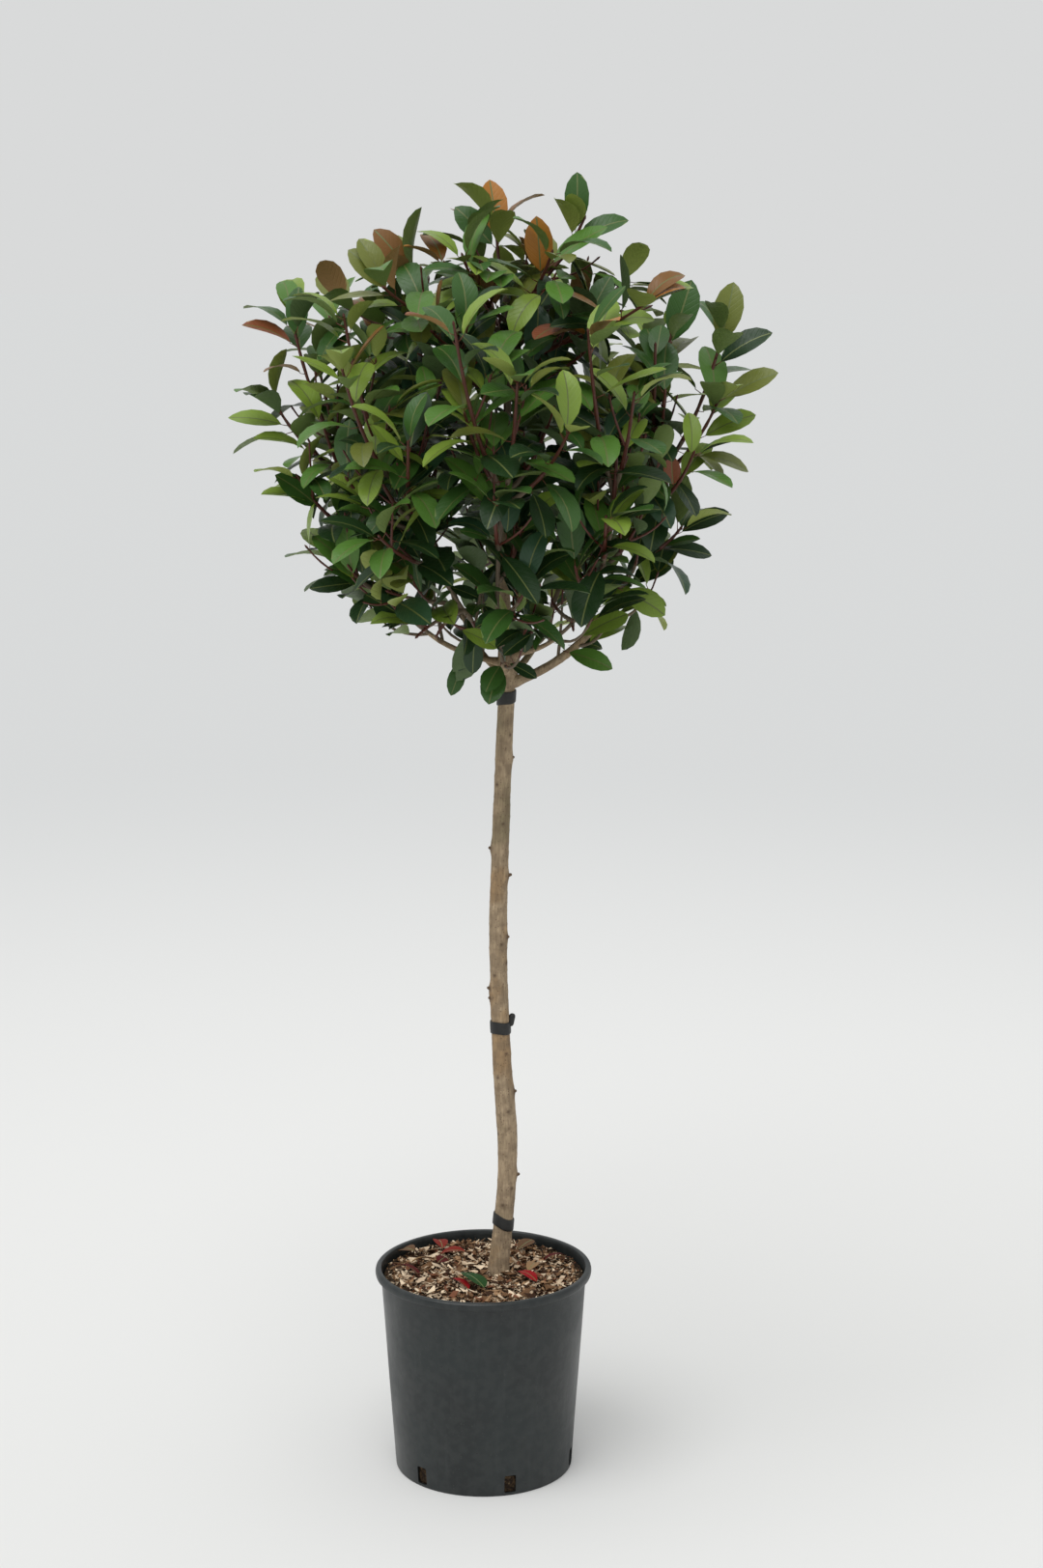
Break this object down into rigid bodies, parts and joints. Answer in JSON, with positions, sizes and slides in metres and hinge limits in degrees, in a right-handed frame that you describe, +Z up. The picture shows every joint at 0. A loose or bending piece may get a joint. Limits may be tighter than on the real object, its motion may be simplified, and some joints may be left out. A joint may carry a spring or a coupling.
{
  "type": "potted photinia standard",
  "caption": "Half-standard photinia in a round black nursery pot: a leafy evergreen ball on a slim bare trunk, with bark mulch and three black tree ties.",
  "frame": {"origin": "middle of the pot's flat underside", "axes": "+Z up the plant, -Y towards the front, from which the picture looks, +X to the right of that view"},
  "size_m": [0.7495, 0.7176, 1.8493],
  "materials": {
    "pot_plastic": "satin black",
    "mulch": "loose bark chips",
    "bark": "matte bark",
    "tie_rubber": "matte black",
    "leaf": "glossy leaf"
  },
  "bodies": {
    "root": {"pot": "pot_plastic", "soil": "mulch", "trunk": "bark", "leader": "bark", "bough_front": "bark", "bough_front_right": "bark", "bough_right": "bark", "bough_back_right": "bark", "bough_back": "bark", "bough_back_left": "bark", "bough_left": "bark", "bough_front_left": "bark", "tie_lower": "tie_rubber", "tie_middle": "tie_rubber", "tie_upper": "tie_rubber", "foliage_front": "leaf", "foliage_front_right": "leaf", "foliage_right": "leaf", "foliage_back_right": "leaf", "foliage_back": "leaf", "foliage_back_left": "leaf", "foliage_left": "leaf", "foliage_front_left": "leaf", "foliage_top": "leaf"}
  },
  "joints": []
}
